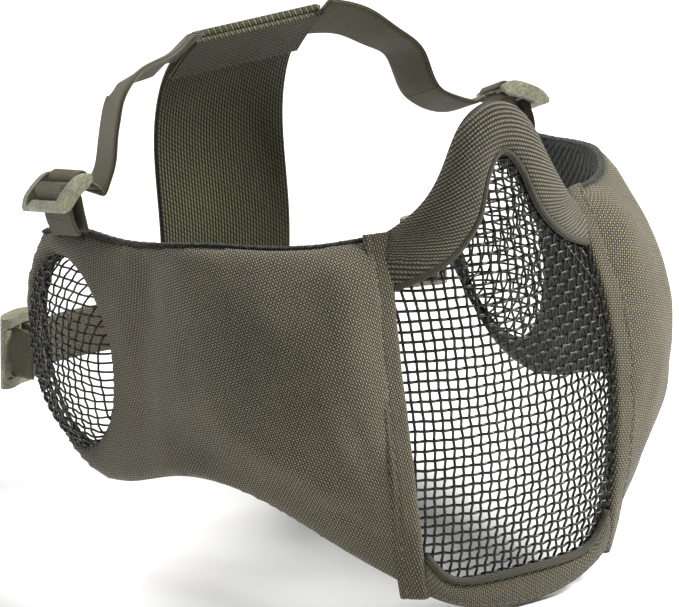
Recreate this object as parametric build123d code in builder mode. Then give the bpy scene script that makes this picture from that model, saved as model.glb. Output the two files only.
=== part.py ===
"""Half-face mask for field games: wire front, padded cheeks, meshed ear covers and an elastic harness.

Frame, in millimetres: X is the wearer's left, -Y the way the wearer looks, +Z up.
The origin is in the mid-plane, on the line between the centres of the two ear windows.
"""
from build123d import *
import math
import os

os.makedirs("parts", exist_ok=True)

# ---- driving dimensions -------------------------------------------------------------------
SEAM_TOP_Z, SEAM_LOW_Z = 49.0, -60.6        # ends of each front seam
SEAM_WIDE_Z, SEAM_WIDE_X = 5.0, 40.4        # height and half-width where the seams are widest
SEAM_TOP_X, SEAM_LOW_X = 33.65, 33.8        # half-widths at the two ends
SEAM_FRONT_Z, SEAM_FRONT_Y = -45.0, -107.3  # where a seam is furthest forward
SEAM_TOP_Y = -87.8
NOSE_TOP_Z, NOSE_TOP_Y = 86.5, -95.5        # top of the nose arch
FRONT_FAR_Z, FRONT_FAR_Y = -25.0, -116.3    # foremost point of the wire front
CHIN_LOW_Z, CHIN_LOW_Y = -70.0, -109.8      # lowest point of the chin band

SIDE_X, SIDE_Y = 87.0, -25.0                # the cheek runs straight back from here
EAR_REAR_Y, EAR_TUCK = 29.5, 4.0            # rear edge of the ear cover, and its inward tuck
COVER_T, FOAM_T, LINING_T = 1.0, 3.0, 0.8   # layers of the padded sides, from outside in
LAYER_GAP = 0.1
BINDING = 1.8                               # width of the piping along a band's edge
FAR_CUT = 140.0                             # how far an outline's cut reaches
SEAM_GAP, FRONT_GAP = 1.2, 0.4              # from the seam line to the cheek, and to the front
WIRE_T = 1.4                                # depth of the woven wire
BAND_T = 2.0                                # depth of the nose and chin bands

WINDOW_Y, WINDOW_Z = 2.5, -1.0              # centre of the ear window
WINDOW_LONG, WINDOW_WIDE, WINDOW_TILT = 28.6, 20.0, 18.0
DOME_H = 8.5                                # how far the ear mesh domes out

STRIP_W, STRIP_T, STRIP_GAP = 7.0, 0.8, 0.3 # folded strip along the cheek's front edge
EDGING_H = 1.4                              # binding along the cheek's top edge
WINDOW_LIP, RIM_W = 0.8, 3.0                # play round the dome, and width of its sewn-in rim
RIM_DROP, RIM_SLOPE = 1.3, -0.07            # how deep the rim sits, and how it follows the tuck
MESH_T = 1.2
STRAP_W, STRAP_T = 20.0, 1.6
PANEL_W, PANEL_T = 50.0, 2.4
NECK_STRAP_W = 15.5                         # the neck straps are narrower
BUCKLE_RIM = 7.0                            # how much wider than its webbing a buckle is
BAR_PITCH, BAR_R, RAIL_TIP = 5.8, 1.3, 2.2  # spacing and radius of the bars, rail past the outer bars
RAIL_W, FREE_BAR_W, FREE_BAR_T, FREE_BAR_RISE = 3.0, 3.8, 2.4, 0.2
TAB_T, EYE_CLEAR, EYE_TAIL = 1.0, 0.35, 6.0

FRONT_REACH, BACK_REACH = -125.0, 60.0      # depths well before and behind the padded sides
VIEW_HALF, VIEW_TOP, VIEW_LOW = 60.0, 120.0, -110.0     # front view outlines are closed well outside
VIEW_ALL = 300.0

SECTIONS = [-76, -66, -56, -46, -34, -20, -5, 10, 25, 38, 50, 62, 76, 92]


# ---- the mask's surface -------------------------------------------------------------------
def two_parabolas(z, peak_z, peak, low_z, low, top_z, top, power=2.0):
    """A smooth hump: peak at peak_z, and the given values at the two ends."""
    end_z, end = (low_z, low) if z < peak_z else (top_z, top)
    return peak + (end - peak) * abs((z - peak_z) / (end_z - peak_z)) ** power


def seam_x(z):
    z = min(z, SEAM_TOP_Z)
    return two_parabolas(z, SEAM_WIDE_Z, SEAM_WIDE_X, SEAM_LOW_Z, SEAM_LOW_X, SEAM_TOP_Z, SEAM_TOP_X)


def seam_y(z):
    if z > SEAM_TOP_Z:
        return centre_y(z) + SEAM_TOP_Y - centre_y(SEAM_TOP_Z)
    return two_parabolas(z, SEAM_FRONT_Z, SEAM_FRONT_Y, SEAM_LOW_Z, SEAM_FRONT_Y + 0.1,
                         SEAM_TOP_Z, SEAM_TOP_Y, 2.3)


def centre_y(z):
    power = 2.0 if z < FRONT_FAR_Z else 1.6
    return two_parabolas(z, FRONT_FAR_Z, FRONT_FAR_Y, CHIN_LOW_Z, CHIN_LOW_Y,
                         NOSE_TOP_Z, NOSE_TOP_Y, power)


def front_y(x, z):
    """The wire front, between the seams."""
    return centre_y(z) + (seam_y(z) - centre_y(z)) * abs(x / seam_x(z)) ** 2.3


def fullness(z):
    """Exponent of the cheek's plan curve: about 1 is a straight line, 2 an ellipse, more is boxier."""
    return 1.15 + 1.6 * math.exp(-((z - 4.0) / 38.0) ** 2)


def side_point(t, z):
    """A point of the left side in plan: t from 0 at the seam to 1 at the turn, then back past the ear."""
    if t > 1.0:
        y = SIDE_Y + (t - 1.0) * (EAR_REAR_Y + 6.0 - SIDE_Y)
        return SIDE_X - EAR_TUCK * ((y - SIDE_Y) / (EAR_REAR_Y - SIDE_Y)) ** 2, y
    start_x = seam_x(z) + SEAM_GAP
    angle = t * math.pi / 2
    power = 2.0 / fullness(z)
    return (start_x + (SIDE_X - start_x) * math.sin(angle) ** power,
            SIDE_Y - (SIDE_Y - seam_y(z)) * math.cos(angle) ** power)


def side_offset(t, z, inset):
    """The same point moved inwards by inset, square to the plan curve."""
    x0, y0 = side_point(max(t - 0.01, 0.0), z)
    x1, y1 = side_point(t + 0.01, z)
    x, y = side_point(t, z)
    run = math.hypot(x1 - x0, y1 - y0)
    return x - inset * (y1 - y0) / run, y + inset * (x1 - x0) / run


SIDE_STEPS = [0.0, 0.14, 0.28, 0.42, 0.56, 0.7, 0.85, 1.0, 1.35, 1.7, 2.0]


def layer_section(outer, inner, z):
    """A closed strip between two plan curves, at height z."""
    with BuildSketch(Plane.XY.offset(z)) as section:
        with BuildLine():
            Spline(*outer)
            Line(outer[-1], inner[-1])
            Spline(*inner)
            Line(inner[0], outer[0])
        make_face()
    return section.sketch.face()


def side_layer(inset, depth):
    """Sections of a layer of the whole left side, before it is cut to its outline."""
    return [layer_section([side_offset(t, z, inset) for t in SIDE_STEPS],
                          [side_offset(t, z, inset + depth) for t in SIDE_STEPS], z)
            for z in SECTIONS]


def front_layer(proud, depth):
    """Sections of a layer between the seams; proud is how far it stands out of the wire."""
    sections = []
    for z in SECTIONS:
        xs = [(seam_x(z) - FRONT_GAP) * k / 4.0 for k in range(-4, 5)]
        outer = [(x, front_y(x, z) - proud) for x in xs]
        inner = [(x, front_y(x, z) - proud + depth) for x in xs]
        sections.append(layer_section(outer, inner, z))
    return sections


# ---- outlines: side view in (y, z), front view in (x, z) ----------------------------------
TOP_EDGE = [(-96, 50.5), (-72, 47), (-56, 46), (-38, 42.6), (-18, 39.2), (2, 37.4), (21, 32)]
REAR_EDGE = [(21, 32), (29, 17), (29.2, 1), (16, -21.5), (0, -34.6), (-14, -37.8)]
LOW_EDGE = [(-14, -37.8), (-27, -35.4), (-45, -29.8), (-62, -28.2), (-78, -33.2), (-91, -45.7), (-112, -65)]
SPLIT_Y = -33.0                             # the seam between cheek and ear cover
NOSE_OUTER = [(36, 47.6), (25.4, 58.8), (20.3, 66.6), (15.8, 75), (10.4, 82.2)]
NOSE_INNER = [(38, 33), (23, 40.4), (15, 47.5), (10.4, 54.5), (6.5, 64.5)]
NOSE_INNER_TOP = 71.0
CHIN_TOP_Z, CHIN_CORNER = -58.8, 10.0


def depth_range(low_y, high_y):
    """A side view area between two depths."""
    with BuildSketch(Plane.YZ) as sketch:
        with Locations(((low_y + high_y) / 2, 0)):
            Rectangle(high_y - low_y, VIEW_ALL)
    return sketch.sketch


def window(grow):
    """The ear window's outline in side view."""
    with BuildSketch(Plane.YZ) as sketch:
        with Locations((WINDOW_Y, WINDOW_Z)):
            Ellipse(WINDOW_LONG + grow, WINDOW_WIDE + grow, rotation=90 - WINDOW_TILT)
    return sketch.sketch


def arch(points, top_z):
    """The area under a nose arch."""
    mirrored = [(-x, z) for x, z in reversed(points)]
    with BuildSketch(Plane.XZ) as sketch:
        with BuildLine():
            Spline(*points, (0, top_z), *mirrored)
            Polyline(mirrored[-1], (-VIEW_HALF, points[0][1]), (-VIEW_HALF, VIEW_LOW),
                     (VIEW_HALF, VIEW_LOW), (VIEW_HALF, points[0][1]), points[0])
        make_face()
    return sketch.sketch


def chin_area(raise_by):
    """The chin below the wire's rounded lower edge."""
    top = CHIN_TOP_Z + raise_by
    side = SEAM_LOW_X + 1.5
    with BuildSketch(Plane.XZ) as sketch:
        with BuildLine():
            Spline((-side, top + CHIN_CORNER), (-side + 7, top + 2.2), (-14, top), (14, top),
                   (side - 7, top + 2.2), (side, top + CHIN_CORNER))
            Polyline((side, top + CHIN_CORNER), (VIEW_HALF, top + CHIN_CORNER), (VIEW_HALF, VIEW_LOW),
                     (-VIEW_HALF, VIEW_LOW), (-VIEW_HALF, top + CHIN_CORNER), (-side, top + CHIN_CORNER))
        make_face()
    return sketch.sketch


def chin_bottom():
    """The front view area above the lower edge of the chin band."""
    with BuildSketch(Plane.XZ) as sketch:
        with BuildLine():
            ThreePointArc((-SEAM_LOW_X - 1, SEAM_LOW_Z), (0, CHIN_LOW_Z), (SEAM_LOW_X + 1, SEAM_LOW_Z))
            Polyline((SEAM_LOW_X + 1, SEAM_LOW_Z), (VIEW_HALF, SEAM_LOW_Z), (VIEW_HALF, VIEW_TOP),
                     (-VIEW_HALF, VIEW_TOP), (-VIEW_HALF, SEAM_LOW_Z), (-SEAM_LOW_X - 1, SEAM_LOW_Z))
        make_face()
    return sketch.sketch


# ---- front -------------------------------------------------------------------------------
with BuildPart() as front_mesh:
    loft(front_layer(0.0, WIRE_T))
    extrude(arch(NOSE_OUTER, NOSE_TOP_Z - 1.0), amount=FAR_CUT, mode=Mode.INTERSECT)
    extrude(chin_bottom(), amount=FAR_CUT, mode=Mode.INTERSECT)
front_mesh.part.label = "front_mesh"

with BuildPart() as nose_band:
    loft(front_layer(BAND_T + LAYER_GAP, BAND_T))
    extrude(arch(NOSE_OUTER, NOSE_TOP_Z), amount=FAR_CUT, mode=Mode.INTERSECT)
    extrude(arch([(x, z + BINDING) for x, z in NOSE_INNER], NOSE_INNER_TOP + BINDING),
            amount=FAR_CUT, mode=Mode.SUBTRACT)
nose_band.part.label = "nose_band"

with BuildPart() as nose_binding:
    loft(front_layer(BAND_T + LAYER_GAP, BAND_T))
    extrude(arch([(x, z + BINDING - LAYER_GAP) for x, z in NOSE_INNER],
                 NOSE_INNER_TOP + BINDING - LAYER_GAP), amount=FAR_CUT, mode=Mode.INTERSECT)
    extrude(arch(NOSE_INNER, NOSE_INNER_TOP), amount=FAR_CUT, mode=Mode.SUBTRACT)
nose_binding.part.label = "nose_binding"

with BuildPart() as nose_lining:
    loft(front_layer(-WIRE_T - LAYER_GAP, BAND_T))
    extrude(arch(NOSE_OUTER, NOSE_TOP_Z), amount=FAR_CUT, mode=Mode.INTERSECT)
    extrude(arch(NOSE_INNER, NOSE_INNER_TOP), amount=FAR_CUT, mode=Mode.SUBTRACT)
nose_lining.part.label = "nose_lining"

with BuildPart() as chin_band:
    loft(front_layer(BAND_T + LAYER_GAP, BAND_T))
    extrude(chin_area(0.0), amount=FAR_CUT, mode=Mode.INTERSECT)
    extrude(chin_bottom(), amount=FAR_CUT, mode=Mode.INTERSECT)
chin_band.part.label = "chin_band"

with BuildPart() as chin_binding:
    loft(front_layer(BAND_T + LAYER_GAP, BAND_T))
    extrude(chin_area(BINDING + LAYER_GAP), amount=FAR_CUT, mode=Mode.INTERSECT)
    extrude(chin_area(LAYER_GAP), amount=FAR_CUT, mode=Mode.SUBTRACT)
chin_binding.part.label = "chin_binding"

with BuildPart() as chin_lining:
    loft(front_layer(-WIRE_T - LAYER_GAP, BAND_T))
    extrude(chin_area(0.0), amount=FAR_CUT, mode=Mode.INTERSECT)
    extrude(chin_bottom(), amount=FAR_CUT, mode=Mode.INTERSECT)
chin_lining.part.label = "chin_lining"


# ---- left side ---------------------------------------------------------------------------
def side_area(lower_top_by=0.0):
    """The side outline in side view, with its top edge lowered by some amount."""
    top = [(y, z - lower_top_by) for y, z in TOP_EDGE]
    with BuildSketch(Plane.YZ) as sketch:
        with BuildLine():
            Spline(*top)
            if lower_top_by:
                Line(top[-1], REAR_EDGE[0])
            Spline(*REAR_EDGE)
            Spline(*LOW_EDGE)
            Polyline(LOW_EDGE[-1], (FRONT_REACH, LOW_EDGE[-1][1]), (FRONT_REACH, top[0][1]), top[0])
        make_face()
    return sketch.sketch


def side_piece(inset, depth, low_y, high_y, lower_top_by=0.0):
    """One layer of the left side, cut to the outline and to a range of depth."""
    with BuildPart() as piece:
        loft(side_layer(inset, depth))
        extrude(side_area(lower_top_by), amount=FAR_CUT, mode=Mode.INTERSECT)
        extrude(depth_range(low_y, high_y), amount=FAR_CUT, mode=Mode.INTERSECT)
    return piece.part


FOAM_IN = COVER_T + LAYER_GAP
LINING_IN = FOAM_IN + FOAM_T + LAYER_GAP
SIDE_T = LINING_IN + LINING_T

with BuildPart() as cheek_cover:
    add(side_piece(0.0, COVER_T, FRONT_REACH, SPLIT_Y, EDGING_H))
cheek_cover.part.label = "cheek_cover"

with BuildPart() as cheek_foam:
    add(side_piece(FOAM_IN, FOAM_T, FRONT_REACH, SPLIT_Y, EDGING_H))
cheek_foam.part.label = "cheek_foam"

with BuildPart() as cheek_lining:
    add(side_piece(LINING_IN, LINING_T, FRONT_REACH, SPLIT_Y, EDGING_H))
cheek_lining.part.label = "cheek_lining"

with BuildPart() as cheek_edging:
    add(side_piece(0.0, SIDE_T, FRONT_REACH, SPLIT_Y))
    extrude(side_area(EDGING_H - LAYER_GAP), amount=FAR_CUT, mode=Mode.SUBTRACT)
cheek_edging.part.label = "cheek_edging"


def strip_end(z):
    """How far along the plan curve the folded seam strip reaches."""
    t = 0.0
    x0, y0 = side_point(0.0, z)
    while math.dist((x0, y0), side_point(t, z)) < STRIP_W:
        t += 0.005
    return t


with BuildPart() as seam_strip:
    strips = []
    for z in SECTIONS:
        steps = [strip_end(z) * k / 3.0 for k in range(4)]
        strips.append(layer_section([side_offset(t, z, -STRIP_T - STRIP_GAP) for t in steps],
                                    [side_offset(t, z, -STRIP_GAP) for t in steps], z))
    loft(strips)
    extrude(side_area(), amount=FAR_CUT, mode=Mode.INTERSECT)
seam_strip.part.label = "seam_strip"

with BuildPart() as ear_cover:
    add(side_piece(0.0, COVER_T, SPLIT_Y + LAYER_GAP, BACK_REACH))
    extrude(window(WINDOW_LIP), amount=FAR_CUT, mode=Mode.SUBTRACT)
ear_cover.part.label = "ear_cover"

with BuildPart() as ear_padding:
    add(side_piece(FOAM_IN, FOAM_T, SPLIT_Y + LAYER_GAP, BACK_REACH))
    extrude(window(RIM_W + WINDOW_LIP), amount=FAR_CUT, mode=Mode.SUBTRACT)
ear_padding.part.label = "ear_padding"

with BuildPart() as ear_lining:
    add(side_piece(LINING_IN, LINING_T, SPLIT_Y + LAYER_GAP, BACK_REACH))
    extrude(window(0.0), amount=FAR_CUT, mode=Mode.SUBTRACT)
ear_lining.part.label = "ear_lining"

RIM_X = SIDE_X - EAR_TUCK * ((WINDOW_Y - SIDE_Y) / (EAR_REAR_Y - SIDE_Y)) ** 2 - COVER_T - RIM_DROP
window_plane = Plane(origin=(RIM_X, WINDOW_Y, WINDOW_Z), x_dir=(RIM_SLOPE, 1, 0),
                     z_dir=(1, -RIM_SLOPE, 0))


def dome(thinner):
    """A squashed ball of the window's outline, standing on the window plane."""
    with BuildPart() as ball:
        Sphere(1.0)
        scale(by=(WINDOW_LONG + WINDOW_LIP - thinner, WINDOW_WIDE + WINDOW_LIP - thinner,
                  DOME_H + RIM_DROP - thinner))
    return ball.part


with BuildPart() as dome_local:
    add(dome(0.0))
    add(dome(MESH_T), mode=Mode.SUBTRACT)
    split(bisect_by=Plane.XY, keep=Keep.TOP)
    with BuildSketch(Plane.XY.offset(-MESH_T)):
        Ellipse(WINDOW_LONG + RIM_W, WINDOW_WIDE + RIM_W)
        Ellipse(WINDOW_LONG + WINDOW_LIP - MESH_T, WINDOW_WIDE + WINDOW_LIP - MESH_T, mode=Mode.SUBTRACT)
    extrude(amount=MESH_T)

with BuildPart() as ear_mesh:
    add(dome_local.part.rotate(Axis.Z, 90 - WINDOW_TILT).moved(window_plane.location))
ear_mesh.part.label = "ear_mesh"


# ---- buckles, tabs and the webbing in the buckles ------------------------------------------
def ladder_buckle(place, webbing_w):
    """A three-bar buckle: middle bar at the plane's origin, strap bar up its Y, free bar down its Y."""
    across = webbing_w + BUCKLE_RIM
    start = place.from_local_coords(Vector(-across / 2, 0, 0))
    rail_plane = Plane(origin=start, x_dir=place.y_dir, z_dir=place.x_dir)
    tip = BAR_PITCH + RAIL_TIP
    with BuildPart() as body:
        with BuildSketch(rail_plane):
            with BuildLine():
                Spline((-tip, 0.0), (-BAR_PITCH, 2.2), (0, 3.2), (BAR_PITCH, 2.2), (tip, 0.0))
                Spline((tip, 0.0), (BAR_PITCH, -1.7), (0, -1.4), (-BAR_PITCH, -1.7), (-tip, 0.0))
            make_face()
        extrude(amount=RAIL_W)
        mirror(about=Plane(origin=place.origin, x_dir=place.y_dir, z_dir=place.x_dir))
        with BuildSketch(rail_plane):
            with Locations((0, 0), (BAR_PITCH, 0)):
                Circle(BAR_R)
        extrude(amount=across)
        with BuildSketch(rail_plane):
            with Locations((-BAR_PITCH, FREE_BAR_RISE)):
                RectangleRounded(FREE_BAR_W, FREE_BAR_T, 0.9)
        extrude(amount=across)
    return body.part


def beside(points, distance):
    """A line of points moved sideways, square to the line at each point."""
    moved = []
    for k, (a, b) in enumerate(points):
        a0, b0 = points[max(k - 1, 0)]
        a1, b1 = points[min(k + 1, len(points) - 1)]
        run = math.hypot(a1 - a0, b1 - b0)
        moved.append((a - distance * (b1 - b0) / run, b + distance * (a1 - a0) / run))
    return moved


def ribbon(plane, points, thickness, width):
    """Flat webbing: a line of even thickness in the plane, extended to both sides of it."""
    one, other = beside(points, thickness / 2), beside(points, -thickness / 2)
    with BuildPart() as piece:
        with BuildSketch(plane):
            with BuildLine():
                Spline(*one)
                Line(one[-1], other[-1])
                Spline(*other)
                Line(other[0], one[0])
            make_face()
        extrude(amount=width / 2, both=True)
    return piece.part


def profile_of(place):
    """The plane across a buckle's bars: its X runs up the buckle's slope, its Y is square to it."""
    return Plane(origin=place.origin, x_dir=place.y_dir, z_dir=place.x_dir)


def strap_eye(place, angle, width):
    """The webbing's end folded round the strap bar, with the tail it leaves by at some angle."""
    inner, outer = BAR_R + EYE_CLEAR, BAR_R + EYE_CLEAR + TAB_T
    with BuildPart() as piece:
        with BuildSketch(profile_of(place)):
            with Locations((BAR_PITCH, 0)):
                Circle(outer)
                with Locations(Location((0, 0), angle)):
                    Polygon((0, outer), (EYE_TAIL, STRAP_T / 2), (EYE_TAIL, -STRAP_T / 2), (0, -outer),
                            align=None)
            with Locations((BAR_PITCH, 0)):
                Circle(inner, mode=Mode.SUBTRACT)
        extrude(amount=width / 2, both=True)
    return piece.part


def buckle_plane(middle, bar, normal):
    """Where a buckle sits: its middle bar's centre, the bar's direction and the outward normal."""
    return Plane(origin=middle, x_dir=bar, z_dir=normal)


# The two top buckles hang differently: the left one is turned by its strap.
LEFT_TOP_BAR, RIGHT_TOP_BAR = (86.2, 2.0, 46.9), (-87.4, 6.6, 49.0)      # centres of the middle bars
LEFT_TOP_DIR, LEFT_TOP_NORMAL = (0.30, 0.87, -0.39), (0.506, 0.198, 0.831)
RIGHT_TOP_DIR, RIGHT_TOP_NORMAL = (-0.188, -0.951, 0.246), (-0.614, 0.309, 0.727)
NECK_BAR = (79.5, 38.0, -10.5)               # middle bar of the left neck buckle
NECK_TURN = 18.0                             # how far its free bar is turned forwards, degrees
LEFT_TAIL, RIGHT_TAIL, NECK_TAIL = -40.0, -75.0, 0.0   # angle at which each strap leaves its bar

left_top_place = buckle_plane(LEFT_TOP_BAR, LEFT_TOP_DIR, LEFT_TOP_NORMAL)
right_top_place = buckle_plane(RIGHT_TOP_BAR, RIGHT_TOP_DIR, RIGHT_TOP_NORMAL)
neck_place = buckle_plane(NECK_BAR, (0, 0, -1),
                          (math.sin(math.radians(NECK_TURN)), math.cos(math.radians(NECK_TURN)), 0))

# Tabs: webbing from the ear cover's edge, out under the free bar, over the middle bar and back,
# in the buckle's own profile plane.
OVER_BAR = [(-2.4, 0.0), (-1.2, 1.9), (0.6, 2.3), (2.1, 1.0)]
LOOSE_OVER_BAR = [(-2.6, 0.4), (-1.5, 2.4), (0.5, 3.0), (2.2, 1.4)]
LEFT_TAB_LINE = [(-6.8, -8.8), (-5.4, -5.6), (-3.5, -2.8), *OVER_BAR, (2.2, -1.4), (0.4, -5.4), (-3.0, -11.0)]
RIGHT_TAB_LINE = [(-7.5, -10.9), (-5.6, -6.2), (-3.7, -3.0), *LOOSE_OVER_BAR, (2.2, -1.4), (-0.2, -5.4),
                  (-4.9, -12.3)]
NECK_TAB_LINE = [(-3.6, -8.6), (-3.6, -5.0), (-3.1, -2.4), *OVER_BAR, (2.2, -1.6), (0.6, -5.0), (-1.4, -8.9)]


with BuildPart() as left_top_buckle:
    add(ladder_buckle(left_top_place, STRAP_W))
left_top_buckle.part.label = "left_top_buckle"

with BuildPart() as right_top_buckle:
    add(ladder_buckle(right_top_place, STRAP_W))
right_top_buckle.part.label = "right_top_buckle"

with BuildPart() as neck_buckle:
    add(ladder_buckle(neck_place, NECK_STRAP_W))
neck_buckle.part.label = "neck_buckle"

with BuildPart() as left_top_tab:
    add(ribbon(profile_of(left_top_place), LEFT_TAB_LINE, TAB_T, STRAP_W))
    extrude(side_area(), amount=FAR_CUT, mode=Mode.SUBTRACT)
left_top_tab.part.label = "left_top_tab"

with BuildPart() as right_top_tab:
    add(ribbon(profile_of(right_top_place), RIGHT_TAB_LINE, TAB_T, STRAP_W))
    extrude(side_area(), amount=-FAR_CUT, mode=Mode.SUBTRACT)
right_top_tab.part.label = "right_top_tab"

with BuildPart() as neck_tab:
    add(ribbon(profile_of(neck_place), NECK_TAB_LINE, TAB_T, NECK_STRAP_W))
    extrude(side_area(), amount=FAR_CUT, mode=Mode.SUBTRACT)
neck_tab.part.label = "neck_tab"

with BuildPart() as left_top_eye:
    add(strap_eye(left_top_place, LEFT_TAIL, STRAP_W))
left_top_eye.part.label = "left_top_eye"

with BuildPart() as right_top_eye:
    add(strap_eye(right_top_place, RIGHT_TAIL, STRAP_W))
right_top_eye.part.label = "right_top_eye"

with BuildPart() as neck_eye:
    add(strap_eye(neck_place, NECK_TAIL, NECK_STRAP_W))
neck_eye.part.label = "neck_eye"

side_parts = [cheek_cover, cheek_foam, cheek_lining, cheek_edging, seam_strip, ear_cover, ear_padding,
              ear_lining, ear_mesh, neck_tab, neck_buckle, neck_eye]

# ---- harness -----------------------------------------------------------------------------
# Routes of the loose webbing, each point with the direction of the strap's width there. A drop
# starts at its buckle, and a run goes on from it to the back panel.
ACROSS_PANEL = (0.0, 0.68, -0.73)
LEFT_DROP = [((75.3, 6.05, 47.5), (0.30, 0.87, -0.39)), ((71.5, 6.9, 46.5), (0.2, 0.9, -0.40)),
             ((61.6, 7.4, 49.2), (0.0, 0.92, -0.39)), ((56.2, 8.9, 52.9), (0.0, 0.94, -0.34))]
LEFT_RUN = [((55.8, 9.2, 54.0), (0.0, 0.94, -0.34)), ((54.1, 12.0, 60.0), (0.0, 0.94, -0.34)),
            ((52.0, 14.0, 66.2), (0.0, 0.93, -0.36)), ((45.8, 17.0, 71.2), (0.0, 0.88, -0.48)),
            ((38.2, 20.0, 76.3), (0.0, 0.80, -0.60)), ((25.5, 22.5, 80.0), ACROSS_PANEL)]
RIGHT_DROP = [((-77.65, 4.7, 49.1), (0.188, 0.951, -0.246)), ((-76.2, 4.2, 48.2), (0.30, 0.93, -0.15)),
              ((-73.6, 3.9, 50.2), (0.42, 0.90, -0.05)), ((-70.9, 3.9, 56.5), (0.40, 0.92, 0.0)),
              ((-69.5, 4.0, 66.0), (0.40, 0.91, -0.03)), ((-68.2, 3.5, 73.6), (0.43, 0.90, -0.05))]
RIGHT_RUN = [((-67.9, 3.4, 74.5), (0.44, 0.90, -0.08)), ((-67.3, 3.4, 76.0), (0.44, 0.88, -0.15)),
             ((-64.4, 4.2, 78.4), (0.44, 0.84, -0.33)), ((-57.2, 6.5, 80.6), (0.42, 0.82, -0.39)),
             ((-48.3, 11.0, 80.2), (0.38, 0.80, -0.46)), ((-36.0, 18.0, 79.6), (0.38, 0.79, -0.48)),
             ((-29.5, 21.6, 79.9), (0.22, 0.78, -0.58)), ((-25.6, 22.4, 80.0), (0.1, 0.74, -0.66))]
NECK_SIDE = [(66.6, 42.3), (63.0, 43.2), (60.0, 43.7), (56.4, 44.0)]
NECK_REAR = [(56.0, 44.0), (46.0, 43.5), (34.0, 42.2), (25.2, 41.4)]
NECK_CENTRE_Y, NECK_Z = 41.4, -12.5
PANEL_LINE = [(38.2, -22.0), (36.6, -4.0), (36.6, 14.0), (38.8, 32.0), (39.8, 46.0), (38.2, 58.0), (33.8, 68.8),
              (27.0, 77.2), (20.6, 83.8)]
SLEEVE_GAP, EDGE_PLAY = 0.3, 0.2


def turned_strap(route):
    """Webbing that turns as it goes: sections along the route, each square to it."""
    middles = [Vector(*middle) for middle, _ in route]
    sections = []
    for k, (_, across) in enumerate(route):
        ahead = middles[min(k + 1, len(route) - 1)] - middles[max(k - 1, 0)]
        wide = Vector(*across) - ahead.normalized() * ahead.normalized().dot(Vector(*across))
        with BuildSketch(Plane(origin=middles[k], x_dir=wide, z_dir=ahead)) as section:
            Rectangle(STRAP_W, STRAP_T)
        sections.append(section.sketch.face())
    with BuildPart() as piece:
        loft(sections)
    return piece.part


def strap_run(points, height):
    """A strap that stands on edge, its width up and down."""
    return ribbon(Plane.XY.offset(height), points, STRAP_T, NECK_STRAP_W)


with BuildPart() as left_top_strap_drop:
    add(turned_strap(LEFT_DROP))
left_top_strap_drop.part.label = "left_top_strap_drop"

with BuildPart() as right_top_strap_drop:
    add(turned_strap(RIGHT_DROP))
right_top_strap_drop.part.label = "right_top_strap_drop"

with BuildPart() as left_top_strap_run:
    add(turned_strap(LEFT_RUN))
left_top_strap_run.part.label = "left_top_strap_run"

with BuildPart() as right_top_strap_run:
    add(turned_strap(RIGHT_RUN))
right_top_strap_run.part.label = "right_top_strap_run"

with BuildPart() as left_neck_strap_side:
    add(strap_run(NECK_SIDE, NECK_Z))
left_neck_strap_side.part.label = "left_neck_strap_side"

with BuildPart() as left_neck_strap_rear:
    add(strap_run(NECK_REAR, NECK_Z))
left_neck_strap_rear.part.label = "left_neck_strap_rear"

with BuildPart() as neck_strap_middle:
    with BuildSketch(Plane.XY.offset(NECK_Z)):
        with Locations((0, NECK_CENTRE_Y)):
            Rectangle(PANEL_W - EDGE_PLAY, STRAP_T)
    extrude(amount=NECK_STRAP_W / 2, both=True)
neck_strap_middle.part.label = "neck_strap_middle"

with BuildPart() as back_panel:
    add(ribbon(Plane.YZ, PANEL_LINE, PANEL_T, PANEL_W))
back_panel.part.label = "back_panel"

with BuildPart() as panel_sleeve:
    add(ribbon(Plane.YZ, beside(PANEL_LINE[-3:], (PANEL_T + STRAP_T) / 2 + SLEEVE_GAP), STRAP_T, PANEL_W))
panel_sleeve.part.label = "panel_sleeve"

middle_parts = [front_mesh, nose_band, nose_binding, nose_lining, chin_band, chin_binding, chin_lining,
                left_top_buckle, right_top_buckle, left_top_tab, right_top_tab, left_top_eye, right_top_eye,
                left_top_strap_drop, right_top_strap_drop, left_top_strap_run, right_top_strap_run,
                neck_strap_middle, back_panel, panel_sleeve]
mirrored_straps = [left_neck_strap_side, left_neck_strap_rear]

# ---- files -------------------------------------------------------------------------------
for item in middle_parts + mirrored_straps:
    export_step(item.part, f"parts/{item.part.label}.step")
for item in mirrored_straps:
    other = mirror(item.part, about=Plane.YZ)
    export_step(other, f"parts/{item.part.label.replace('left', 'right')}.step")
for item in side_parts:
    name = item.part.label
    item.part.label = f"left_{name}"
    export_step(item.part, f"parts/left_{name}.step")
    other = mirror(item.part, about=Plane.YZ)
    other.label = f"right_{name}"
    export_step(other, f"parts/right_{name}.step")
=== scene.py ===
"""Looks of the half-face mask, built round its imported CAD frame.

Lengths in this file are in millimetres, in the row frame: X is the wearer's left, -Y the way the
wearer looks, +Z up. They become metres where a mesh is made.
"""

import math

import bmesh
import bpy
import numpy as np
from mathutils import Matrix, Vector
from mathutils.geometry import delaunay_2d_cdt


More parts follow.
